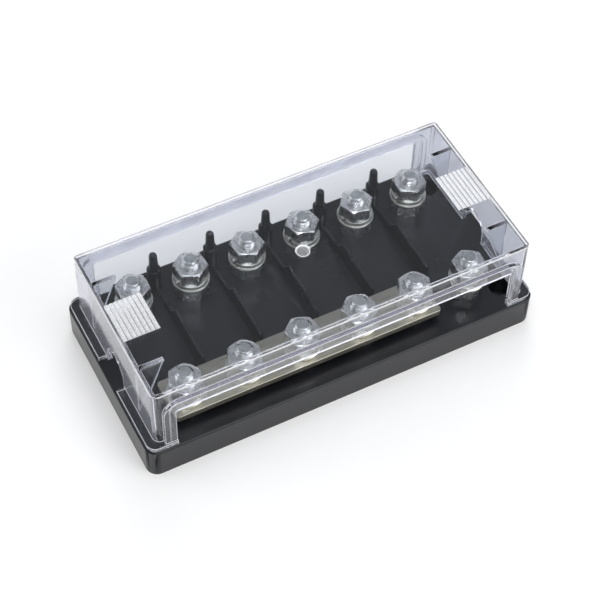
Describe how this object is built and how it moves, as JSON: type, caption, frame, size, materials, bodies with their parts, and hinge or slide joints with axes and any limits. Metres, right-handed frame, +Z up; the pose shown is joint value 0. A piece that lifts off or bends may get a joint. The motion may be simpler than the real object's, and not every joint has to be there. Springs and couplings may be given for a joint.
{
  "type": "fuse holder",
  "caption": "Bolt-down fuse holder: black moulded base with rows of threaded studs, nuts and washers, a plated linking busbar and a clear lift-off cover.",
  "frame": {"origin": "centre of the underside of the base", "axes": "+X along the stud rows from way 1 to way 6, +Y from the busbar row to the plain row, +Z up out of the base"},
  "size_m": [0.1796, 0.086, 0.0485],
  "materials": {
    "base_plastic": "moulded black thermoplastic, glossy",
    "busbar_plating": "tin-plated flat bar",
    "cover_clear": "clear polycarbonate",
    "fastener_zinc": "bright zinc-plated steel",
    "washer_zinc": "zinc-plated steel"
  },
  "bodies": {
    "base_body": {"base": "base_plastic", "busbar": "busbar_plating", "rear_stud_1": "fastener_zinc", "rear_stud_2": "fastener_zinc", "rear_stud_3": "fastener_zinc", "rear_stud_4": "fastener_zinc", "rear_stud_5": "fastener_zinc", "rear_stud_6": "fastener_zinc", "rear_flat_washer_1": "washer_zinc", "rear_flat_washer_2": "washer_zinc", "rear_flat_washer_3": "washer_zinc", "rear_flat_washer_4": "washer_zinc", "rear_flat_washer_5": "washer_zinc", "rear_flat_washer_6": "washer_zinc", "rear_spring_washer_1": "washer_zinc", "rear_spring_washer_2": "washer_zinc", "rear_spring_washer_3": "washer_zinc", "rear_spring_washer_4": "washer_zinc", "rear_spring_washer_5": "washer_zinc", "rear_spring_washer_6": "washer_zinc", "rear_nut_1": "fastener_zinc", "rear_nut_2": "fastener_zinc", "rear_nut_3": "fastener_zinc", "rear_nut_4": "fastener_zinc", "rear_nut_5": "fastener_zinc", "rear_nut_6": "fastener_zinc", "front_stud_1": "fastener_zinc", "front_stud_2": "fastener_zinc", "front_stud_3": "fastener_zinc", "front_stud_4": "fastener_zinc", "front_stud_5": "fastener_zinc", "front_stud_6": "fastener_zinc", "front_flat_washer_1": "washer_zinc", "front_flat_washer_2": "washer_zinc", "front_flat_washer_3": "washer_zinc", "front_flat_washer_4": "washer_zinc", "front_flat_washer_5": "washer_zinc", "front_flat_washer_6": "washer_zinc", "front_spring_washer_1": "washer_zinc", "front_spring_washer_2": "washer_zinc", "front_spring_washer_3": "washer_zinc", "front_spring_washer_4": "washer_zinc", "front_spring_washer_5": "washer_zinc", "front_spring_washer_6": "washer_zinc", "front_nut_1": "fastener_zinc", "front_nut_2": "fastener_zinc", "front_nut_3": "fastener_zinc", "front_nut_4": "fastener_zinc", "front_nut_5": "fastener_zinc", "front_nut_6": "fastener_zinc"},
    "cover_body": {"cover": "cover_clear"}
  },
  "joints": [
    {"name": "cover_lift", "type": "slide", "parent": "base_body", "child": "cover_body", "axis": [0, 0, 1], "range_m": [0, 0.06]}
  ]
}
